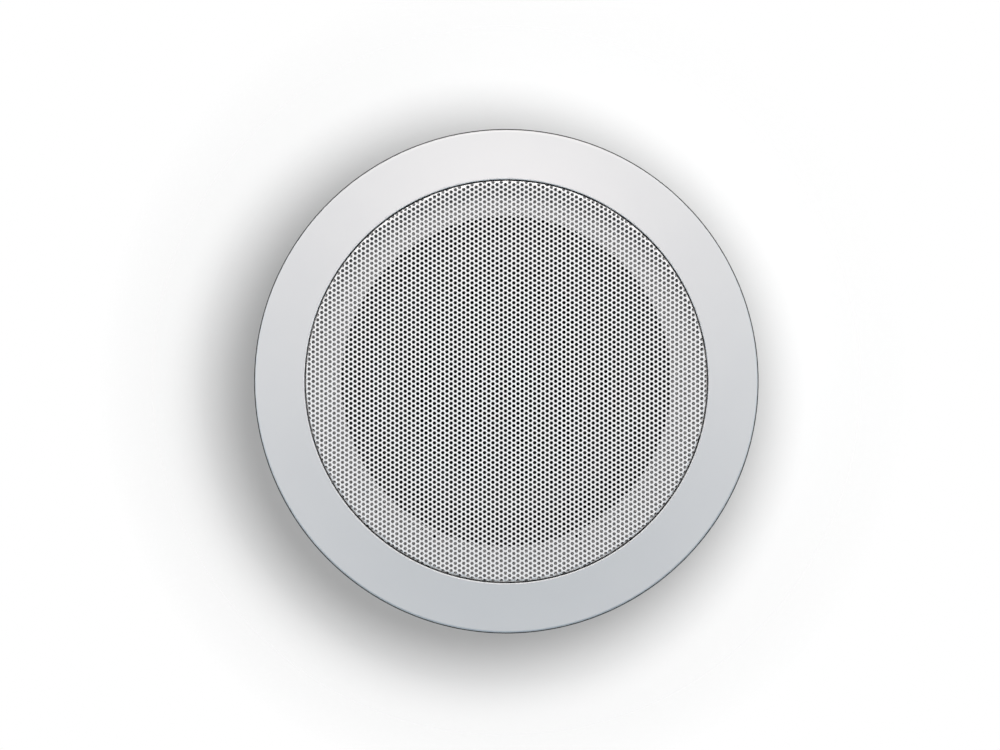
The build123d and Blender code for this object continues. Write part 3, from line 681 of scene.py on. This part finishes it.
for name, x in TAG_PLACES.items():
    line = bpy.data.curves.new(f"lead_{name}", "CURVE")
    line.dimensions = "3D"
    line.bevel_depth = LEAD_DIAMETER / 2
    line.bevel_resolution = 3
    line.use_fill_caps = True
    spline = line.splines.new("NURBS")
    spline.points.add(len(LEAD_ROUTE) - 1)
    for point, (y, z) in zip(spline.points, LEAD_ROUTE):
        point.co = (x * MM, y * MM, z * MM, 1.0)
    spline.order_u = 3
    spline.use_endpoint_u = True
    spline.resolution_u = 16
    lead = bpy.data.objects.new(f"lead_{name}", line)
    bpy.context.scene.collection.objects.link(lead)
    pick(lead)
    bpy.ops.object.convert(target="MESH")
    smooth(lead, 50)
    stand_in(lead, tinsel, "tinsel", "tinsel_leads")
    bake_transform(lead)
    foot = Vector((x, LEAD_ROUTE[0][0], CEMENT_LEVEL)) * MM
    off_cone = Vector((*(foot.xy.normalized() * CONE_SLOPE), 1.0))
    lean = Vector((0, 0, 1)).rotation_difference(off_cone).to_matrix().to_4x4()
    cement = bead(f"lead_cement_{name}", foot, lean, CEMENT_WIDTH * MM, CEMENT_HEIGHT * MM)
    cement.data.materials.append(pulp_paper)
    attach(cement, "moving_cone")

# Driver screws. Four plated pan-head screws with a cross recess, driven through the basket's rim and the foam
# into the baffle's land.
SCREW_TIP = 1.6
SHANK_RADIUS = 1.7
HEAD_SEAT = 7.0             # on the basket's rim
HEAD_RADIUS = 3.6
HEAD_TOP = 9.4
HEAD_DOME = [(HEAD_RADIUS, 8.0), (3.5, 8.5), (3.2, 8.9), (2.6, 9.2), (1.6, 9.36), (0, HEAD_TOP)]
SCREW_STEPS = 32
RECESS_LENGTH = 4.0
RECESS_WIDTH = 0.9
RECESS_DEPTH = 1.5
RECESS_TAPER = (0.45, 0.6, 1)


def placed_copy(piece, name, matrix):
    """A copy of a piece, with a mesh of its own that holds its place."""
    copy = bpy.data.objects.new(name, piece.data.copy())
    copy.data.name = name
    bpy.context.scene.collection.objects.link(copy)
    copy.matrix_world = matrix
    pick(copy)
    bpy.ops.object.transform_apply(location=True, rotation=True, scale=True)
    return copy


screw = lathe("driver_screw", [
    (0, SCREW_TIP), (SHANK_RADIUS, SCREW_TIP), (SHANK_RADIUS, HEAD_SEAT), (HEAD_RADIUS, HEAD_SEAT),
    *HEAD_DOME], SCREW_STEPS)
for turn in (0, math.pi / 2):
    bpy.ops.object.select_all(action="DESELECT")
    bpy.ops.mesh.primitive_cube_add(size=1)
    blade = bpy.context.object
    bpy.ops.object.mode_set(mode="EDIT")
    bpy.ops.mesh.select_mode(type="FACE")
    bpy.ops.mesh.select_all(action="SELECT")
    bpy.ops.transform.resize(value=Vector((RECESS_LENGTH, RECESS_WIDTH, 2 * RECESS_DEPTH)) * MM)
    tip = bmesh.from_edit_mesh(blade.data)
    select_only(blade.data, [f for f in tip.faces if f.normal.z < -0.5])
    bpy.ops.transform.resize(value=RECESS_TAPER)
    bpy.ops.object.mode_set(mode="OBJECT")
    blade.matrix_world = Matrix.Translation((0, 0, HEAD_TOP * MM)) @ Matrix.Rotation(turn, 4, "Z")
    cut(screw, blade)
smooth(screw, 30)
for number, turn in enumerate(SCREW_TURNS, 1):
    place_on_rim = turn @ Matrix.Translation((SCREW_CIRCLE * MM, 0, 0))
    driven = placed_copy(screw, f"driver_screw_{number}", place_on_rim)
    stand_in(driven, zinc, "plated_steel", "driver_screws")
    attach(driven, "speaker")
bpy.data.objects.remove(screw)

# Spring clips. A folded steel bracket is riveted into each pocket of the skirt, and an arm folded from like
# sheet swings on a pin in it. Bracket, arm and pin are zinc-plated.
CLIP_ANGLES = {1: math.radians(90), 2: math.radians(210), 3: math.radians(330)}
dress(zinc, *[f"clip_{part}_{n}" for part in ("bracket", "pin", "arm") for n in CLIP_ANGLES])

# Clip springs. Torsion springs wound from hard-drawn wire. One leg stands against the bracket and the other
# lies along the arm, so the turns between them wind up as the arm is lifted.
PIN_PLACE = Vector((82.8, 0, 18.6)) * MM
WIRE = 0.8
COIL_RADIUS = 2.175
COIL_HALF = 1.75            # from the middle to the wire of either leg
COIL_TURN = math.radians(65 + 4 * 360)
COIL_STEPS = 120
FIXED_LEG = 5.0
MOVING_LEG = 11.0
WIRE_SIDES = 10

bpy.ops.object.select_all(action="DESELECT")
bpy.ops.mesh.primitive_circle_add(
    vertices=WIRE_SIDES, radius=WIRE / 2 * MM, location=Vector((-COIL_RADIUS, 0, -COIL_HALF)) * MM,
    rotation=(math.pi / 2, 0, 0))
bpy.ops.object.transform_apply(location=True, rotation=True, scale=True)
spring = bpy.context.object
spring.name = "clip_spring"
apply_modifier(spring, "SCREW", axis="Z", angle=COIL_TURN, screw_offset=2 * COIL_HALF * MM, steps=COIL_STEPS,
               render_steps=COIL_STEPS, use_merge_vertices=False)
bpy.ops.object.mode_set(mode="EDIT")
bpy.ops.mesh.select_mode(type="EDGE")
leave = math.pi + COIL_TURN
legs = {-1: Vector((0, FIXED_LEG, 0)) * MM,
        1: Vector((-math.sin(leave), math.cos(leave), 0)) * MOVING_LEG * MM}
for side, leg in legs.items():
    wire = bmesh.from_edit_mesh(spring.data)
    select_only(spring.data, [e for e in wire.edges if e.is_boundary and side * e.verts[0].co.z > 0])
    bpy.ops.mesh.extrude_edges_move(TRANSFORM_OT_translate={"value": leg})
bpy.ops.mesh.select_all(action="SELECT")
bpy.ops.mesh.fill_holes(sides=WIRE_SIDES)
bpy.ops.mesh.select_all(action="SELECT")
bpy.ops.mesh.normals_make_consistent(inside=False)
bpy.ops.object.mode_set(mode="OBJECT")
smooth(spring, 50)

# Drawn wire: a grey steel with a thin film of oil, and fine draw marks.
DRAW_MARK = 0.12 * MM
spring_steel, shader, place = new_finish("drawn_spring_wire", "#8D8E91", Metallic=1.0)
marks = add_node(spring_steel, "ShaderNodeTexNoise", {"Scale": 1 / DRAW_MARK, "Detail": 2.0},
                 {"Vector": (place, "Object")})
add_node(spring_steel, "ShaderNodeMixRGB", {"Color1": linear("#7C7D80"), "Color2": linear("#9C9DA0")},
         {"Fac": (marks, "Fac")}, {"Color": (shader, "Base Color")})
add_node(spring_steel, "ShaderNodeMapRange", {"To Min": 0.22, "To Max": 0.38},
         {"Value": (marks, "Fac")}, {"Result": (shader, "Roughness")})


def at_clip(piece, name, angle, turn):
    """A copy of a clip's piece, which is drawn round its pin, in place on the skirt."""
    return placed_copy(piece, name, Matrix.Rotation(angle, 4, "Z") @ Matrix.Translation(PIN_PLACE) @ turn)


for number, angle in CLIP_ANGLES.items():
    coil = at_clip(spring, f"clip_spring_wire_{number}", angle, Matrix.Rotation(math.pi / 2, 4, "X"))
    stand_in(coil, spring_steel, "spring_steel", f"clip_spring_{number}")
    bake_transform(coil)
bpy.data.objects.remove(spring)

# Clip pads. Rubber boots pushed over the arms' tips. They bear on the ceiling panel's upper face, and grooves
# across their undersides keep them from slipping.
PAD_START = 12.5
PAD_END = 19.7
PAD_HALF = 8.4
PAD_BOTTOM = -4.85
PAD_TOP = -1.55
PAD_ROUND = 1.0
GROOVES = [14.3, 15.5, 16.7, 17.9]
GROOVE_WIDTH = 0.5
GROOVE_DEPTH = 0.45
GROOVE_HALF = 7.6
ARM_ANGLE = math.radians(25)
ARM_TIP = 18.5
ARM_HALF = 7.6
WEB_TOP = -2.75
WEB_BOTTOM = -3.65


def block(x, y, z):
    """A box between pairs of limits in millimetres, shaped from a cube in edit mode."""
    bpy.ops.object.select_all(action="DESELECT")
    bpy.ops.mesh.primitive_cube_add(size=1)
    bpy.ops.object.mode_set(mode="EDIT")
    bpy.ops.mesh.select_all(action="SELECT")
    bpy.ops.transform.resize(value=Vector((x[1] - x[0], y[1] - y[0], z[1] - z[0])) * MM)
    bpy.ops.transform.translate(value=Vector((sum(x), sum(y), sum(z))) / 2 * MM)
    bpy.ops.object.mode_set(mode="OBJECT")
    return bpy.context.object


pad = block((PAD_START, PAD_END), (-PAD_HALF, PAD_HALF), (PAD_BOTTOM, PAD_TOP))
pad.name = "clip_pad"
bpy.ops.object.mode_set(mode="EDIT")
bpy.ops.mesh.select_mode(type="EDGE")
rubber_block = bmesh.from_edit_mesh(pad.data)
long_edges = [e for e in rubber_block.edges if abs(e.verts[0].co.y - e.verts[1].co.y) > PAD_HALF * MM]
select_only(pad.data, long_edges)
bpy.ops.mesh.bevel(offset=PAD_ROUND * MM, segments=4, affect="EDGES")
cuts = [((x + side * GROOVE_WIDTH / 2, 0, 0), (1, 0, 0)) for x in GROOVES for side in (-1, 1)]
cuts += [((0, side * GROOVE_HALF, 0), (0, 1, 0)) for side in (-1, 1)]
for point, normal in cuts:
    bpy.ops.mesh.select_all(action="SELECT")
    bpy.ops.mesh.bisect(plane_co=Vector(point) * MM, plane_no=normal)
bpy.ops.mesh.select_mode(type="FACE")
rubber_block = bmesh.from_edit_mesh(pad.data)
groove_faces = []
for face in rubber_block.faces:
    middle = face.calc_center_median() / MM
    in_groove = any(abs(middle.x - x) < GROOVE_WIDTH / 2 for x in GROOVES) and abs(middle.y) < GROOVE_HALF
    if in_groove and face.normal.z < -0.9:
        groove_faces.append(face)
select_only(pad.data, groove_faces)
bpy.ops.mesh.extrude_region_move(TRANSFORM_OT_translate={"value": (0, 0, GROOVE_DEPTH * MM)})
bpy.ops.object.mode_set(mode="OBJECT")
cut(pad, block((0, ARM_TIP), (-ARM_HALF, ARM_HALF), (WEB_BOTTOM, WEB_TOP)))
smooth(pad, 30)
for number, angle in CLIP_ANGLES.items():
    boot = at_clip(pad, f"clip_pad_boot_{number}", angle, Matrix.Rotation(ARM_ANGLE, 4, "Y"))
    stand_in(boot, rubber, "pad_rubber", f"clip_pad_{number}")
    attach(boot, f"clip_{number}")
bpy.data.objects.remove(pad)

# Studio. The speaker hangs face down as in a ceiling, and the camera looks straight up at it.
# A pale sheet stands behind it, and takes its soft shadow.
CAMERA_DISTANCE = 2.0
FRAME_WIDTH = 0.40675       # width of the view at the ceiling line
VIEW_OFFSET = (2.57 * MM, 2.54 * MM)
BACKDROP_HEIGHT = 70 * MM
BACKDROP_SIZE = 4.0

camera_data = bpy.data.cameras.new("camera")
camera_data.sensor_width = 36.0
camera_data.lens = camera_data.sensor_width * CAMERA_DISTANCE / FRAME_WIDTH
camera = bpy.data.objects.new("camera", camera_data)
camera.location = (*VIEW_OFFSET, -CAMERA_DISTANCE)
camera.rotation_euler = (0, math.pi, 0)
bpy.context.scene.collection.objects.link(camera)
bpy.context.scene.camera = camera

bpy.ops.object.select_all(action="DESELECT")
bpy.ops.mesh.primitive_plane_add(size=BACKDROP_SIZE, location=(0, 0, BACKDROP_HEIGHT),
                                 rotation=(math.pi, 0, 0))
backdrop = bpy.context.object
backdrop.name = "backdrop"
bpy.ops.object.transform_apply(location=True, rotation=True, scale=True)
backdrop.visible_diffuse = False
backdrop.visible_glossy = False
backdrop.visible_shadow = False

# Matt paper under a lamp of its own. The camera sees a share of its white in the shadow too, as if from the
# room's light. It fades out round that shadow, where the white world takes over, and its back is clear.
PAPER_GLOW = 0.345
PAPER_FADE = (0.145, 0.185)  # from the origin
paper, shader, place = new_finish("backdrop_paper", "#9A9A9A", Roughness=1.0, Specular_IOR_Level=0.0,
                                  Emission_Color=linear("#FFFFFF"))
view = add_node(paper, "ShaderNodeLightPath", {})
add_node(paper, "ShaderNodeMapRange", {"To Max": PAPER_GLOW}, {"Value": (view, "Is Camera Ray")},
         {"Result": (shader, "Emission Strength")})
clear = add_node(paper, "ShaderNodeBsdfTransparent", {})
side = add_node(paper, "ShaderNodeNewGeometry", {})
reach = add_node(paper, "ShaderNodeVectorMath", {"operation": "LENGTH"}, {"Vector": (place, "Object")})
fade = add_node(paper, "ShaderNodeMapRange", {"From Min": PAPER_FADE[0], "From Max": PAPER_FADE[1]},
                {"Value": (reach, "Value")})
open_share = add_node(paper, "ShaderNodeMath", {"operation": "MAXIMUM"},
                      {0: (side, "Backfacing"), 1: (fade, "Result")})
add_node(paper, "ShaderNodeMixShader", {},
         {"Fac": (open_share, "Value"), 1: (shader, "BSDF"), 2: (clear, "BSDF")},
         {"Shader": (paper.node_tree.nodes["Material Output"], "Surface")})
backdrop.data.materials.append(paper)


def lamp(name, place, size, power, colour="#FFFFFF", target=(0, 0, 0)):
    """A soft oval lamp, as wide and as high as its size says, that faces a point."""
    data = bpy.data.lights.new(name, "AREA")
    data.shape = "ELLIPSE"
    data.size, data.size_y = size
    data.energy = power
    data.color = linear(colour)[:3]
    holder = bpy.data.objects.new(name, data)
    holder.location = place
    holder.rotation_euler = (Vector(target) - Vector(place)).to_track_quat("-Z", "Y").to_euler()
    bpy.context.scene.collection.objects.link(holder)
    return holder


on_backdrop = bpy.data.collections.new("lit_backdrop")
on_backdrop.objects.link(backdrop)
off_backdrop = bpy.data.collections.new("lit_speaker")
off_backdrop.objects.link(backdrop)
off_backdrop.collection_objects[0].light_linking.link_state = "EXCLUDE"

# A broad lamp above the view, cool fill from the sides and below, and two lamps behind for the driver
lamps = [
    lamp("key_lamp", (0, 1.41, -1.41), (2.4, 0.8), 47.2, "#FFF9F7"),
    lamp("left_lamp", (0.95, 0, -0.28), (0.5, 0.4), 2.5, "#D2EAFB"),
    lamp("right_lamp", (-0.95, 0, -0.28), (0.5, 0.4), 2.6, "#D2EAFB"),
    lamp("low_lamp", (0, -0.97, -0.22), (0.5, 0.4), 2.75, "#D2EAFB"),
    lamp("rear_lamp", (-0.12, -0.15, 1.3), (0.4, 0.4), 11.5),
    lamp("rear_fill_lamp", (0.15, 0.12, 1.3), (0.4, 0.4), 4.5),
]
for each in lamps:
    each.light_linking.receiver_collection = off_backdrop
backdrop_lamp = lamp("backdrop_lamp", (-0.056, 0.0487, -0.48), (0.252, 0.252), 6.5,
                     target=(0, 0, BACKDROP_HEIGHT))
backdrop_lamp.light_linking.receiver_collection = on_backdrop

# The world is white to the camera and in reflections, and a faint cool light on the speaker
WORLD_LIGHT = 0.05
world = bpy.data.worlds.new("studio")
bpy.context.scene.world = world
world.use_nodes = True
sky = world.node_tree.nodes["Background"]
ray = add_node(world, "ShaderNodeLightPath", {})
mirrored = add_node(world, "ShaderNodeMath", {"operation": "MAXIMUM"},
                    {0: (ray, "Is Glossy Ray"), 1: (ray, "Is Transmission Ray")})
seen = add_node(world, "ShaderNodeMath", {"operation": "MAXIMUM"},
                {0: (ray, "Is Camera Ray"), 1: (mirrored, "Value")})
add_node(world, "ShaderNodeMapRange", {"To Min": WORLD_LIGHT, "To Max": 1.0},
         {"Value": (seen, "Value")}, {"Result": (sky, "Strength")})
add_node(world, "ShaderNodeMixRGB", {"Color1": linear("#E6F3FA"), "Color2": linear("#FFFFFF")},
         {"Fac": (seen, "Value")}, {"Color": (sky, "Color")})
bpy.context.scene.view_settings.view_transform = "Standard"
